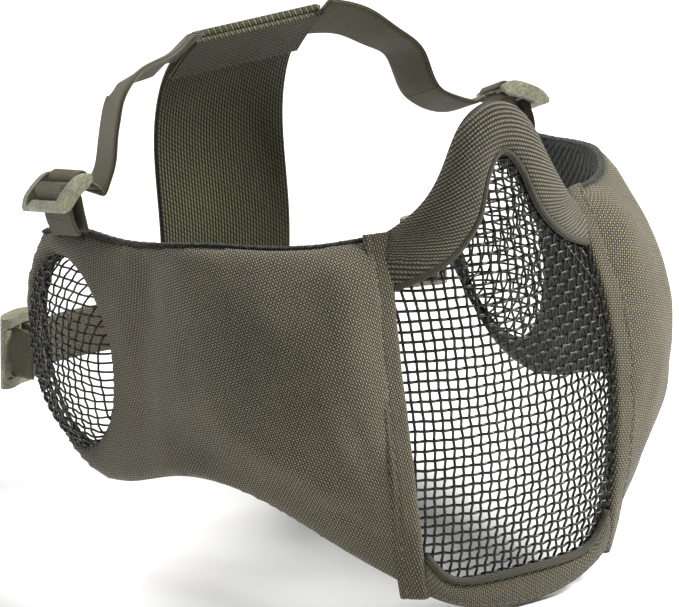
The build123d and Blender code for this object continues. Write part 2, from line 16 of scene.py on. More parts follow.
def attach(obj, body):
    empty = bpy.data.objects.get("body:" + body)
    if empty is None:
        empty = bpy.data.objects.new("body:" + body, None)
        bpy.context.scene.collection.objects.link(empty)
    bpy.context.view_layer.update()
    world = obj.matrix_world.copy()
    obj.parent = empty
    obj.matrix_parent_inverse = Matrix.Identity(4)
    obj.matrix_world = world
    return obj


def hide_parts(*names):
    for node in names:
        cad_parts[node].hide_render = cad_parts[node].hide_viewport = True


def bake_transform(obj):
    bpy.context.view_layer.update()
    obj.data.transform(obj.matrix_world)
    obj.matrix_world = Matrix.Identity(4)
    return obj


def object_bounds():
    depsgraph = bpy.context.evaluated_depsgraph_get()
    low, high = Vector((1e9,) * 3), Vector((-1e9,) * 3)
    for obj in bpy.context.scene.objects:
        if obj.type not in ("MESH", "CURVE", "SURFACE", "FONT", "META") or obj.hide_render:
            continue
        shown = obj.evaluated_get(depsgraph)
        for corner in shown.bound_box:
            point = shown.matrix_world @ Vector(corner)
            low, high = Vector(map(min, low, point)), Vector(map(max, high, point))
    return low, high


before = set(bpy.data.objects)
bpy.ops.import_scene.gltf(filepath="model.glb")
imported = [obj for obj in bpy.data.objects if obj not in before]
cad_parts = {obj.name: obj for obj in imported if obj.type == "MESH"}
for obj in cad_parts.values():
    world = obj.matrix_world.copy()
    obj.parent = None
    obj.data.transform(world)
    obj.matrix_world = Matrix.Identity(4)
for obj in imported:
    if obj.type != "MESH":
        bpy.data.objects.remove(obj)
cad_box = [list(corner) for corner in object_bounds()]
MM = 0.001

# ---- driving dimensions, as in the CAD ------------------------------------------------------
SEAM_TOP_Z, SEAM_LOW_Z = 49.0, -60.6
SEAM_WIDE_Z, SEAM_WIDE_X = 5.0, 40.4
SEAM_TOP_X, SEAM_LOW_X = 33.65, 33.8
SEAM_FRONT_Z, SEAM_FRONT_Y = -45.0, -107.3
SEAM_TOP_Y = -87.8
NOSE_TOP_Z, NOSE_TOP_Y = 86.5, -95.5
FRONT_FAR_Z, FRONT_FAR_Y = -25.0, -116.3
CHIN_LOW_Z, CHIN_LOW_Y = -70.0, -109.8
SIDE_X, SIDE_Y = 87.0, -25.0
EAR_REAR_Y, EAR_TUCK = 29.5, 4.0
SEAM_GAP, COVER_T, WINDOW_LIP = 1.2, 1.0, 0.8
FULL_LEAST, FULL_MORE, FULL_Z, FULL_SPREAD = 1.15, 1.6, 4.0, 38.0     # how boxy the cheeks are in plan
WINDOW_Y, WINDOW_Z = 2.5, -1.0
WINDOW_LONG, WINDOW_WIDE, WINDOW_TILT = 28.6, 20.0, 18.0
DOME_H, RIM_DROP, RIM_SLOPE = 8.5, 1.3, -0.07
STRAP_W, STRAP_T = 20.0, 1.6
PANEL_W, PANEL_T = 50.0, 2.4
TAB_T = 1.0
BAR_R, BAR_PITCH, EYE_CLEAR, EYE_TAIL = 1.3, 5.8, 0.35, 6.0
TOP_EDGE = [(-96, 50.5), (-72, 47), (-56, 46), (-38, 42.6), (-18, 39.2), (2, 37.4), (21, 32)]
REAR_EDGE = [(21, 32), (29, 17), (29.2, 1), (16, -21.5), (0, -34.6), (-14, -37.8)]
LOW_EDGE = [(-14, -37.8), (-27, -35.4), (-45, -29.8), (-62, -28.2), (-78, -33.2), (-91, -45.7), (-112, -65)]
NOSE_OUTER = [(36, 47.6), (25.4, 58.8), (20.3, 66.6), (15.8, 75), (10.4, 82.2)]
NOSE_INNER = [(38, 33), (23, 40.4), (15, 47.5), (10.4, 54.5), (6.5, 64.5)]
NOSE_INNER_TOP = 71.0
CHIN_TOP_Z, CHIN_CORNER = -58.8, 10.0
BUCKLES = {                                 # middle bar's centre, its direction, outward normal, tail angle
    "left_top": ((86.2, 2.0, 46.9), (0.30, 0.87, -0.39), (0.506, 0.198, 0.831), -40.0),
    "right_top": ((-87.4, 6.6, 49.0), (-0.188, -0.951, 0.246), (-0.614, 0.309, 0.727), -75.0),
    "left_neck": ((79.5, 38.0, -10.5), (0, 0, -1), (0.309, 0.951, 0), 0.0),
    "right_neck": ((-79.5, 38.0, -10.5), (0, 0, 1), (-0.309, 0.951, 0), 0.0)}
OVER_BAR = [(-2.4, 0.0), (-1.2, 1.9), (0.6, 2.3), (2.1, 1.0)]
LOOSE_OVER_BAR = [(-2.6, 0.4), (-1.5, 2.4), (0.5, 3.0), (2.2, 1.4)]
LEFT_TAB_LINE = [(-6.8, -8.8), (-5.4, -5.6), (-3.5, -2.8), *OVER_BAR, (2.2, -1.4), (0.4, -5.4), (-3.0, -11.0)]
RIGHT_TAB_LINE = [(-7.5, -10.9), (-5.6, -6.2), (-3.7, -3.0), *LOOSE_OVER_BAR, (2.2, -1.4), (-0.2, -5.4),
                  (-4.9, -12.3)]
NECK_TAB_LINE = [(-3.6, -8.6), (-3.6, -5.0), (-3.1, -2.4), *OVER_BAR, (2.2, -1.6), (0.6, -5.0), (-1.4, -8.9)]
ACROSS_PANEL = (0.0, 0.68, -0.73)
NECK_STRAP_W = 15.5
LEFT_ROUTE = [((75.3, 6.05, 47.5), (0.30, 0.87, -0.39)), ((71.5, 6.9, 46.5), (0.2, 0.9, -0.40)),
              ((61.6, 7.4, 49.2), (0.0, 0.92, -0.39)), ((56.0, 9.0, 53.2), (0.0, 0.94, -0.34)),
              ((54.1, 12.0, 60.0), (0.0, 0.94, -0.34)),
              ((52.0, 14.0, 66.2), (0.0, 0.93, -0.36)), ((45.8, 17.0, 71.2), (0.0, 0.88, -0.48)),
              ((38.2, 20.0, 76.3), (0.0, 0.80, -0.60)), ((25.0, 22.5, 80.0), ACROSS_PANEL)]
RIGHT_ROUTE = [((-77.65, 4.7, 49.1), (0.188, 0.951, -0.246)), ((-76.2, 4.2, 48.2), (0.30, 0.93, -0.15)),
               ((-73.6, 3.9, 50.2), (0.42, 0.90, -0.05)), ((-70.9, 3.9, 56.5), (0.40, 0.92, 0.0)),
               ((-69.5, 4.0, 66.0), (0.40, 0.91, -0.03)), ((-68.05, 3.45, 74.0), (0.43, 0.90, -0.06)),
               ((-67.3, 3.4, 76.0), (0.44, 0.88, -0.15)),
               ((-64.4, 4.2, 78.4), (0.44, 0.84, -0.33)), ((-57.2, 6.5, 80.6), (0.42, 0.82, -0.39)),
               ((-48.3, 11.0, 80.2), (0.38, 0.80, -0.46)), ((-36.0, 18.0, 79.6), (0.38, 0.79, -0.48)),
               ((-29.5, 21.6, 79.9), (0.22, 0.78, -0.58)), ((-25.0, 22.4, 80.0), (0.1, 0.74, -0.66))]
LEFT_JOIN, RIGHT_JOIN = 3, 5                 # where a route passes from its drop to its run
PANEL_LINE = [(38.2, -22.0), (36.6, -4.0), (36.6, 14.0), (38.8, 32.0), (39.8, 46.0), (38.2, 58.0),
              (33.8, 68.8), (27.0, 77.2), (20.6, 83.8)]
NECK_CENTRE_Y, NECK_Z = 41.4, -12.5
SLEEVE_DEPTH = 2.3                          # from the panel's middle to its sleeve's
NECK_SIDE = [(66.6, 42.3), (63, 43.2), (60, 43.7), (56.4, 44)]
NECK_REAR = [(56.4, 44), (46, 43.5), (34, 42.2), (25.0, 41.4)]

# ---- camera, lights and floor -----------------------------------------------------------------
VIEW_WIDTH = 205.76                         # width of the view at the mask
DISTANCE = 5.0
SENSOR = 36.0
cam_data = bpy.data.cameras.new("camera")
cam_data.sensor_width = SENSOR
cam_data.lens = SENSOR * DISTANCE / (VIEW_WIDTH * MM)
cam_data.clip_end = 60.0
camera = bpy.data.objects.new("camera", cam_data)
bpy.context.scene.collection.objects.link(camera)
AIM = Vector((-0.0377, -0.0691, 0.0229))
TOWARDS = Vector((-0.586, -0.749, 0.309)).normalized()
camera.location = AIM + TOWARDS * DISTANCE
camera.rotation_mode = "QUATERNION"
camera.rotation_quaternion = (-TOWARDS).to_track_quat("-Z", "Y")
bpy.context.scene.camera = camera


def lamp(name, place, size, power, colour=(1, 1, 1)):
    light = bpy.data.lights.new(name, "AREA")
    light.size = size
    light.energy = power
    light.color = colour
    obj = bpy.data.objects.new(name, light)
    obj.location = place
    obj.rotation_euler = (Vector((0, -0.04, 0.01)) - Vector(place)).to_track_quat("-Z", "Y").to_euler()
    bpy.context.scene.collection.objects.link(obj)


lamp("key", (0.85, -0.55, 0.9), 0.4, 34.0, (1.0, 0.985, 0.95))
lamp("fill", (-1.0, -0.75, 0.75), 0.8, 1.2, (0.97, 0.985, 1.0))
lamp("back", (-0.35, 0.9, 1.1), 0.6, 16.0)
world = bpy.data.worlds.new("studio")
bpy.context.scene.world = world
world.use_nodes = True
world.node_tree.nodes["Background"].inputs["Color"].default_value = (1.0, 1.0, 1.0, 1.0)
world.node_tree.nodes["Background"].inputs["Strength"].default_value = 0.34
bpy.context.scene.view_settings.view_transform = "Standard"


# ---- materials --------------------------------------------------------------------------------
class Shade:
    """A material under construction: a Principled shader and the nodes that feed it."""

    def __init__(self, name, **settings):
        self.mat = bpy.data.materials.new(name)
        self.mat.use_nodes = True
        self.tree = self.mat.node_tree
        self.shader = self.tree.nodes["Principled BSDF"]
        for key, value in settings.items():
            self.shader.inputs[key.replace("_", " ")].default_value = value

    def node(self, kind, inputs=None, **props):
        made = self.tree.nodes.new("ShaderNode" + kind)
        for key, value in props.items():
            setattr(made, key, value)
        for key, value in (inputs or {}).items():
            if isinstance(value, bpy.types.NodeSocket):
                self.tree.links.new(value, made.inputs[key])
            else:
                made.inputs[key].default_value = value
        return made

    def math(self, operation, a, b=0.0, clamp=False):
        made = self.node("Math", {0: a, 1: b}, operation=operation)
        made.use_clamp = clamp
        return made.outputs[0]

    def uv(self, scale_u, scale_v, turn=0.0):
        """Fabric coordinates in threads: two sockets."""
        place = self.node("TexCoord")
        mapped = self.node("Mapping", {"Vector": place.outputs["UV"], "Scale": (scale_u, scale_v, 1.0),
                                       "Rotation": (0.0, 0.0, turn)})
        split = self.node("SeparateXYZ", {0: mapped.outputs[0]})
        return split.outputs[0], split.outputs[1]

    def wave(self, phase):
        """sin of pi times the phase: one hump per thread."""
        return self.math("SINE", self.math("MULTIPLY", phase, math.pi))

    def noise(self, scale, detail=2.0, rough=0.5, where="Object"):
        place = self.node("TexCoord")
        return self.node("TexNoise", {"Vector": place.outputs[where], "Scale": scale, "Detail": detail,
                                      "Roughness": rough}).outputs[0]

    def ramp(self, value, stops):
        made = self.node("ValToRGB", {0: value})
        ends = made.color_ramp.elements
        ends[0].position, ends[0].color = stops[0][0], (*stops[0][1], 1)
        ends[1].position, ends[1].color = stops[-1][0], (*stops[-1][1], 1)
        for position, colour in stops[1:-1]:
            ends.new(position).color = (*colour, 1)
        return made.outputs[0]

    def finish(self, colour, height=None, depth=0.2, rough=None):
        self.tree.links.new(colour, self.shader.inputs["Base Color"])
        if rough is not None:
            self.tree.links.new(rough, self.shader.inputs["Roughness"])
        if height is not None:
            bump = self.node("Bump", {"Height": height, "Distance": depth * MM, "Strength": 1.0})
            self.tree.links.new(bump.outputs[0], self.shader.inputs["Normal"])
        return self.mat


def rgb(r, g, b):
    """A linear colour from the usual 0 to 255 display values."""
    return tuple(((c / 255 + 0.055) / 1.055) ** 2.4 if c > 10 else c / 255 / 12.92 for c in (r, g, b))


def plain_weave(name, thread, gap_shade, mid, light, depth=0.12, turn=0.0, roughness=0.8, sheen=0.12):
    """Heavy plain weave: warp and weft take turns on top, with painted highlight on the crowns and painted
    shade in the gaps.
    """
    s = Shade(name, Roughness=roughness, Sheen_Weight=sheen, Sheen_Roughness=0.45)
    u, v = s.uv(1 / (thread * MM), 1 / (thread * MM), turn)
    wave_u, wave_v = s.wave(u), s.wave(v)
    both = s.math("MULTIPLY", wave_u, wave_v)
    warp_up = s.math("ADD", s.math("MULTIPLY", both, 2.5), 0.5, clamp=True)
    crown = s.math("POWER", s.math("ABSOLUTE", both), 0.6)
    rise = s.node("Mix", {0: warp_up, 2: s.math("MULTIPLY", s.math("ABSOLUTE", wave_v), 0.55),
                          3: s.math("ABSOLUTE", wave_u)}).outputs[0]
    height = s.math("ADD", s.math("MULTIPLY", rise, 0.55), s.math("MULTIPLY", crown, 0.45))
    fibre = s.noise(2600.0, 2.0)
    broad = s.noise(38.0, 3.0)
    tone = s.math("ADD", height, s.math("MULTIPLY", s.math("SUBTRACT", fibre, 0.5), 0.5))
    tone = s.math("ADD", tone, s.math("MULTIPLY", s.math("SUBTRACT", broad, 0.5), 0.22))
    # the ramp paints shade where the threads dip and highlight on their crowns
    colour = s.ramp(tone, [(0.18, gap_shade), (0.5, mid), (0.86, light)])
    return s.finish(colour, height, depth)


def ribbed(name, pitch, gap_shade, mid, light, twist=0.9, depth=0.25, slant=0.0, roughness=0.75, sheen=0.1,
           cross=0.35):
    """Cords laid side by side along u, each with a twist: twill, elastic webbing and knit."""
    s = Shade(name, Roughness=roughness, Sheen_Weight=sheen, Sheen_Roughness=0.4)
    u, v = s.uv(1 / (twist * MM), 1 / (pitch * MM), 0.0)
    rib = s.math("ABSOLUTE", s.wave(s.math("ADD", v, s.math("MULTIPLY", u, slant))))
    turn = s.math("ABSOLUTE", s.wave(s.math("ADD", u, s.math("MULTIPLY", v, 0.5))))
    height = s.math("ADD", s.math("MULTIPLY", s.math("POWER", rib, 0.7), 1.0 - cross),
                    s.math("MULTIPLY", s.math("MULTIPLY", rib, turn), cross))
    fibre = s.noise(2200.0, 2.0)
    broad = s.noise(45.0, 2.0)
    tone = s.math("ADD", height, s.math("MULTIPLY", s.math("SUBTRACT", fibre, 0.5), 0.6))
    tone = s.math("ADD", tone, s.math("MULTIPLY", s.math("SUBTRACT", broad, 0.5), 0.2))
    # the ramp paints shade between the cords and highlight on their tops
    colour = s.ramp(tone, [(0.25, gap_shade), (0.62, mid), (0.95, light)])
    return s.finish(colour, height, depth)


def fuzzy(name, gap_shade, mid, light, scale=1500.0, depth=0.35, roughness=0.9):
    """Brushed knit: small soft loops."""
    s = Shade(name, Roughness=roughness, Sheen_Weight=0.12, Sheen_Roughness=0.5)
    place = s.node("TexCoord")
    loops = s.node("TexVoronoi", {"Vector": place.outputs["Object"], "Scale": scale}).outputs[0]
    height = s.math("SUBTRACT", 1.0, loops)
    tone = s.math("ADD", height, s.math("MULTIPLY", s.math("SUBTRACT", s.noise(300.0, 2.0), 0.5), 0.7))
    # the ramp paints shade between the loops and highlight on their tops
    colour = s.ramp(tone, [(0.2, gap_shade), (0.55, mid), (0.9, light)])
    return s.finish(colour, height, depth)


def painted_wire(name):
    """Black-green painted steel, with small pale flecks painted in as glints."""
    s = Shade(name, Metallic=0.35, Roughness=0.34, Specular_IOR_Level=0.6)
    glint_noise = s.noise(900.0, 3.0, 0.7)
    broad = s.noise(60.0, 2.0)
    tone = s.math("ADD", glint_noise, s.math("MULTIPLY", s.math("SUBTRACT", broad, 0.5), 0.6))
    # the palest stop paints small glints on the wire
    colour = s.ramp(tone, [(0.38, rgb(10, 11, 9)), (0.62, rgb(30, 31, 26)), (0.84, rgb(112, 112, 98))])
    return s.finish(colour, glint_noise, 0.05)


def moulded(name):
    """Matt moulded nylon, mottled grey-green with paler flecks scattered at random."""
    s = Shade(name, Roughness=0.5, Specular_IOR_Level=0.45)
    grain = s.noise(1300.0, 4.0, 0.65)
    broad = s.noise(120.0, 3.0)
    tone = s.math("ADD", s.math("MULTIPLY", grain, 0.6), s.math("MULTIPLY", broad, 0.4))
    colour = s.ramp(tone, [(0.32, rgb(78, 80, 64)), (0.5, rgb(122, 122, 102)), (0.7, rgb(170, 172, 148))])
    return s.finish(colour, grain, 0.06)


def thread_shade(name, low, high):
    """Sewing thread: two plies."""
    s = Shade(name, Roughness=0.6, Sheen_Weight=0.2)
    grain = s.noise(1800.0, 2.0)
    return s.finish(s.ramp(grain, [(0.3, low), (0.7, high)]), grain, 0.05)


# in each fabric the first colour is painted shade in the gaps, the middle one its own colour, the last
# painted highlight on the crowns
COVER = plain_weave("cover_fabric", 0.72, rgb(5, 5, 3), rgb(32, 29, 19), rgb(136, 128, 100), 0.25, 0.35)
FOLD = plain_weave("fold_fabric", 0.72, rgb(5, 5, 3), rgb(30, 27, 18), rgb(126, 118, 90), 0.25, 0.2)
TWILL = ribbed("nose_twill", 1.35, rgb(3, 3, 2), rgb(27, 25, 16), rgb(112, 105, 78), 0.9, 0.5)
PIPING = ribbed("band_piping", 0.6, rgb(6, 6, 4), rgb(30, 28, 18), rgb(84, 79, 56), 0.6)
LINING = ribbed("spacer_lining", 2.2, rgb(2, 3, 2), rgb(9, 10, 7), rgb(34, 36, 27), 1.6, 0.5, 0.6)
EDGING = fuzzy("knit_edging", rgb(3, 4, 2), rgb(14, 16, 9), rgb(52, 54, 36))
BACK = ribbed("back_elastic", 1.12, rgb(4, 5, 1), rgb(20, 22, 8), rgb(96, 96, 56), 1.5, 0.2)
STRAP = ribbed("strap_elastic", 0.62, rgb(24, 22, 14), rgb(58, 53, 36), rgb(118, 110, 80), 0.55, 0.08)
TAB = plain_weave("tab_webbing", 0.42, rgb(5, 5, 2), rgb(42, 38, 23), rgb(136, 127, 92), 0.25)
WIRE = painted_wire("painted_wire")
NYLON = moulded("buckle_nylon")
THREAD = thread_shade("sewing_thread", rgb(56, 54, 40), rgb(104, 100, 78))


# ---- mesh helpers -----------------------------------------------------------------------------
def make(name, verts, faces, coords, material):
    """A mesh object from millimetre points, with fabric coordinates in metres."""
    mesh = bpy.data.meshes.new(name)
    mesh.from_pydata((np.asarray(verts) * MM).tolist(), [], [list(map(int, f)) for f in faces])
    layer = mesh.uv_layers.new(name="fabric")
    index = np.zeros(len(mesh.loops), np.int64)
    mesh.loops.foreach_get("vertex_index", index)
    layer.data.foreach_set("uv", (np.asarray(coords, float)[index] * MM).astype(np.float32).ravel())
    shape = bmesh.new()
    shape.from_mesh(mesh)
    bmesh.ops.recalc_face_normals(shape, faces=shape.faces)
    shape.to_mesh(mesh)
    shape.free()
    for face in mesh.polygons:
        face.use_smooth = True
    mesh.materials.append(material)
    obj = bpy.data.objects.new(name, mesh)
    bpy.context.scene.collection.objects.link(obj)
    return obj


def skins(name, parts, material):
    """Closed tubes of any section: each part is (rings, coords), rings being (n, m, 3)."""
    verts, faces, coords, base = [], [], [], 0
    for rings, uv in parts:
        n, m = rings.shape[:2]
        verts.append(rings.reshape(-1, 3))
        coords.append(uv.reshape(-1, 2))
        for i in range(n - 1):
            for j in range(m):
                a, b = base + i * m + j, base + i * m + (j + 1) % m
                faces.append((a, b, b + m, a + m))
        faces.append(tuple(base + j for j in range(m))[::-1])
        faces.append(tuple(base + (n - 1) * m + j for j in range(m)))
        base += n * m
    return make(name, np.vstack(verts), faces, np.vstack(coords), material)


def unit(v):
    return v / np.maximum(np.linalg.norm(v, axis=-1, keepdims=True), 1e-9)


def through(points, count, closed=False):
    """Evenly spaced points on a smooth line through the given ones."""
    p = np.array(points, float)
    run = np.linalg.norm(np.diff(p, axis=0), axis=1)
    s = np.concatenate([[0], np.cumsum(run)])
    n = len(p)
    a, b = np.eye(n), np.zeros_like(p)
    for i in range(1, n - 1):
        a[i, i - 1:i + 2] = run[i - 1], 2 * (run[i - 1] + run[i]), run[i]
        b[i] = 6 * ((p[i + 1] - p[i]) / run[i] - (p[i] - p[i - 1]) / run[i - 1])
    m = np.linalg.solve(a, b)
    fine = np.linspace(0, s[-1], 60 * n)
    k = np.clip(np.searchsorted(s, fine, side="right") - 1, 0, n - 2)
    before, after, step = (s[k + 1] - fine)[:, None], (fine - s[k])[:, None], run[k][:, None]
    line = ((m[k] * before ** 3 + m[k + 1] * after ** 3) / (6 * step)
            + (p[k] / step - m[k] * step / 6) * before + (p[k + 1] / step - m[k + 1] * step / 6) * after)
    return evenly(line, count)


def evenly(line, count):
    s = np.concatenate([[0], np.cumsum(np.linalg.norm(np.diff(line, axis=0), axis=1))])
    at = np.linspace(0, s[-1], count)
    return np.stack([np.interp(at, s, line[:, k]) for k in range(line.shape[1])], 1)


def tangents(line):
    return unit(np.gradient(line, axis=0))


def lengths(line):
    return np.concatenate([[0], np.cumsum(np.linalg.norm(np.diff(line, axis=0), axis=1))])


def tube(line, normals, radius, sides=6, flat=1.0):
    """Rings round a line; flat squeezes them along the normals."""
    across = unit(np.cross(tangents(line), normals))
    angle = np.arange(sides) * 2 * math.pi / sides
    rings = (line[:, None] + radius * (np.cos(angle)[None, :, None] * across[:, None]
                                       + flat * np.sin(angle)[None, :, None] * normals[:, None]))
    along = np.repeat(lengths(line)[:, None], sides, 1)
    around = np.repeat((angle * radius)[None], len(line), 0)
    return rings, np.stack([along, around], 2)


def webbing(line, across, width, thick, ribs=0.0, rib_pitch=1.1, count=17):
    """Rings of flat webbing: line is its middle, across its width direction at each point."""
    across = unit(across - (across * tangents(line)).sum(1, keepdims=True) * tangents(line))
    normal = unit(np.cross(tangents(line), across))
    a = np.linspace(-0.5, 0.5, count) * width
    edge = np.clip((width / 2 - np.abs(a)) / (thick * 0.6), 0, 1)
    half = thick / 2 * np.sqrt(np.clip(1 - (1 - edge) ** 2, 0.06, 1))
    ridge = ribs * (np.abs(np.sin(math.pi * a / rib_pitch)) - 1)
    section = np.concatenate([np.stack([a, half + ridge], 1), np.stack([a, -half - ridge], 1)[::-1]])
    rings = (line[:, None] + section[None, :, :1] * across[:, None] + section[None, :, 1:] * normal[:, None])
    along = np.repeat(lengths(line)[:, None], len(section), 1)
    return rings, np.stack([along, np.repeat(section[None, :, 0], len(line), 0)], 2)


def stitch_row(line, normals, pitch=3.0, length=2.2, width=0.55, high=0.4):
    """Separate stitches lying along a line."""
    total = lengths(line)
    parts = []
    for k in range(int(total[-1] / pitch)):
        mid = (k + 0.5) * pitch
        at = mid + np.linspace(-0.5, 0.5, 5) * length
        points = np.stack([np.interp(at, total, line[:, i]) for i in range(3)], 1)
        up = unit(np.stack([np.interp(at, total, normals[:, i]) for i in range(3)], 1))
        swell = np.array([0.25, 0.85, 1.0, 0.85, 0.25])[:, None, None]
        rings, uv = tube(points, up, 1.0, 6)
        size = np.array([width / 2])
        centre = points[:, None]
        rings = centre + (rings - centre) * swell * size
        parts.append((rings + up[:, None] * (high - width / 2) * swell * 0.5, uv))
    return parts


# ---- the front surface --------------------------------------------------------------------------
def two_parabolas(z, peak_z, peak, low_z, low, top_z, top, power=2.0):
    end_z, end = np.where(z < peak_z, low_z, top_z), np.where(z < peak_z, low, top)
    return peak + (end - peak) * np.abs((z - peak_z) / (end_z - peak_z)) ** power


def seam_x(z):
    return two_parabolas(np.minimum(z, SEAM_TOP_Z), SEAM_WIDE_Z, SEAM_WIDE_X, SEAM_LOW_Z, SEAM_LOW_X,
                         SEAM_TOP_Z, SEAM_TOP_X)


def centre_y(z):
    return two_parabolas(z, FRONT_FAR_Z, FRONT_FAR_Y, CHIN_LOW_Z, CHIN_LOW_Y, NOSE_TOP_Z, NOSE_TOP_Y,
                         np.where(z < FRONT_FAR_Z, 2.0, 1.6))


def seam_y(z):
    low = two_parabolas(z, SEAM_FRONT_Z, SEAM_FRONT_Y, SEAM_LOW_Z, SEAM_FRONT_Y + 0.1,
                        SEAM_TOP_Z, SEAM_TOP_Y, 2.3)
    return np.where(z > SEAM_TOP_Z, centre_y(z) + SEAM_TOP_Y - centre_y(np.float64(SEAM_TOP_Z)), low)


def front_y(x, z):
    return centre_y(z) + (seam_y(z) - centre_y(z)) * np.abs(x / seam_x(z)) ** 2.3


def front_at(x, z, proud=0.0):
    """Points of the wire front and their outward normals; proud moves them along the normals."""
    x, z = np.asarray(x, float), np.asarray(z, float)
    y = front_y(x, z)
    step = 0.5
    slope_x = (front_y(x + step, z) - front_y(x - step, z)) / (2 * step)
    slope_z = (front_y(x, z + step) - front_y(x, z - step)) / (2 * step)
    normal = unit(np.stack([slope_x, -np.ones_like(y), slope_z], -1))
    return np.stack([x, y, z], -1) + normal * np.asarray(proud)[..., None], normal


def arch_line(points, top, count=120):
    """A nose arch from the wearer's left foot over the top to the right, in (x, z)."""
    return through(points + [(0, top)] + [(-x, z) for x, z in reversed(points)], count)


nose_in, nose_out = arch_line(NOSE_INNER, NOSE_INNER_TOP), arch_line(NOSE_OUTER, NOSE_TOP_Z)
arch_height = through(NOSE_INNER + [(0, NOSE_INNER_TOP)], 60)
CHIN_SIDE = SEAM_LOW_X + 1.5
chin_line = through([(-CHIN_SIDE, CHIN_TOP_Z + CHIN_CORNER), (-CHIN_SIDE + 7, CHIN_TOP_Z + 2.2),
                     (-14, CHIN_TOP_Z), (14, CHIN_TOP_Z), (CHIN_SIDE - 7, CHIN_TOP_Z + 2.2),
                     (CHIN_SIDE, CHIN_TOP_Z + CHIN_CORNER)], 90)

# ---- woven wire front ---------------------------------------------------------------------------
WIRE_PITCH, WIRE_R, WIRE_WAVE = 3.05, 0.46, 0.38
UNDER_BAND = 3.5                            # how far the wires run on under the bands
UNDER_SEAM = 2.6
WIRE_LOW_Z, WIRE_TOP_Z, WIRE_HALF = -66.0, 73.5, 43.5    # the cloth before it is cut to shape


def shift_wires(x, z):
    """The small unevenness of pressed wire cloth."""
    return (x + 0.16 * np.sin(0.11 * x + 0.19 * z + 1.0) + 0.08 * np.sin(0.37 * z - 0.29 * x),
            z + 0.15 * np.sin(0.17 * x - 0.12 * z + 2.0) + 0.08 * np.sin(0.41 * x + 0.33 * z))


def level_steps(line_of, low, high, pitch):
    """Values between low and high that are evenly spaced along the curve line_of."""
    values = np.linspace(low, high, 500)
    run = lengths(line_of(values))
    return np.interp(np.arange(0, run[-1], pitch), run, values)


row_z = level_steps(lambda z: np.stack([centre_y(z), z], 1), WIRE_LOW_Z, WIRE_TOP_Z, WIRE_PITCH)
half = level_steps(lambda x: np.stack([front_y(x, np.zeros_like(x)), x], 1), 0.0, WIRE_HALF, WIRE_PITCH)
column_x = np.concatenate([-half[:0:-1], half])


def wires():
    parts = []
    sub = 4
    fine_x = np.interp(np.arange((len(column_x) - 1) * sub + 1) / sub, np.arange(len(column_x)), column_x)
    fine_z = np.interp(np.arange((len(row_z) - 1) * sub + 1) / sub, np.arange(len(row_z)), row_z)

    def inside(x, z):
        top = np.interp(np.abs(x), arch_height[::-1, 0], arch_height[::-1, 1]) + UNDER_BAND
        low = np.interp(np.abs(x), chin_line[45:, 0], chin_line[45:, 1]) - UNDER_BAND
        return (z < top) & (z > low) & (np.abs(x) < seam_x(z) + UNDER_SEAM)

    def add(x, z, wave):
        keep = inside(x, z)
        if keep.sum() < 5:
            return
        first, last = np.argmax(keep), len(keep) - np.argmax(keep[::-1])
        x, z = shift_wires(x[first:last], z[first:last])
        points, normal = front_at(x, z)
        points = points + normal * (wave[first:last] - 0.75)[:, None]
        parts.append(tube(points, normal, WIRE_R, 6))

    for j, z in enumerate(row_z):
        wave = WIRE_WAVE * np.cos(math.pi * np.arange(len(fine_x)) / sub) * (-1) ** j
        add(fine_x, np.full(len(fine_x), z), wave)
    for i, x in enumerate(column_x):
        wave = -WIRE_WAVE * np.cos(math.pi * np.arange(len(fine_z)) / sub) * (-1) ** i
        add(np.full(len(fine_z), x), fine_z, wave)
    return parts


front_wire = skins("front_wire", wires(), WIRE)
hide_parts("front_mesh")
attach(front_wire, "front")


# ---- nose band and chin band ----------------------------------------------------------------------
def band_rings(inner, outer, section, ribs_of=None):
    """A padded band on the front between two (x, z) lines. The section is (share across, proud)."""
    share = np.array([a for a, _ in section])[None, :]
    proud = np.array([h for _, h in section])[None, :]
    x = inner[:, :1] + (outer[:, :1] - inner[:, :1]) * share
    z = inner[:, 1:] + (outer[:, 1:] - inner[:, 1:]) * share
    proud = np.repeat(proud, len(inner), 0)
    points, _ = front_at(x, z, proud)
    along = np.repeat(lengths(np.stack([(inner[:, 0] + outer[:, 0]) / 2, (inner[:, 1] + outer[:, 1]) / 2], 1))
                      [:, None], x.shape[1], 1)
    across = share * np.linalg.norm(outer - inner, axis=1)[:, None]
    coords = np.stack([along, across], 2) if ribs_of is None else ribs_of(x, z)
    return points, coords


def twill_coords(x, z):
    """The twill's ribs lie level on the cheeks and bend over the nose."""
    lift = np.clip((z - 42.0) / 40.0, 0, 1.2)
    return np.stack([x, z + x * x / 26.0 * lift], 2)


NOSE_SECTION = [(0.06, -0.6), (0.03, 0.5), (0.07, 1.5), (0.16, 2.1), (0.3, 2.55), (0.45, 2.8), (0.6, 2.85),
                (0.74, 2.6), (0.86, 2.1), (0.95, 1.2), (0.995, 0.1), (1.0, -0.8), (0.98, -1.5), (0.8, -1.4),
                (0.5, -1.35), (0.2, -1.3)]
nose_band = skins("nose_band_twill", [band_rings(nose_in, nose_out, NOSE_SECTION, twill_coords)],
                  TWILL)
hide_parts("nose_band")
NOSE_BACK = [(0.06, -1.5), (0.2, -1.55), (0.5, -1.6), (0.8, -1.65), (0.96, -1.75), (0.995, -2.3),
             (0.96, -3.1), (0.8, -3.6), (0.5, -3.8), (0.2, -3.5), (0.05, -2.8), (0.03, -2.1)]
nose_back = skins("nose_band_lining", [band_rings(nose_in, nose_out, NOSE_BACK)], LINING)
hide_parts("nose_lining")
pipe, pipe_normal = front_at(nose_in[:, 0] * 0.99, nose_in[:, 1] + 0.7, np.full(len(nose_in), 0.75))
nose_pipe = skins("nose_band_piping", [tube(pipe, pipe_normal, 1.15, 10)], PIPING)
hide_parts("nose_binding")

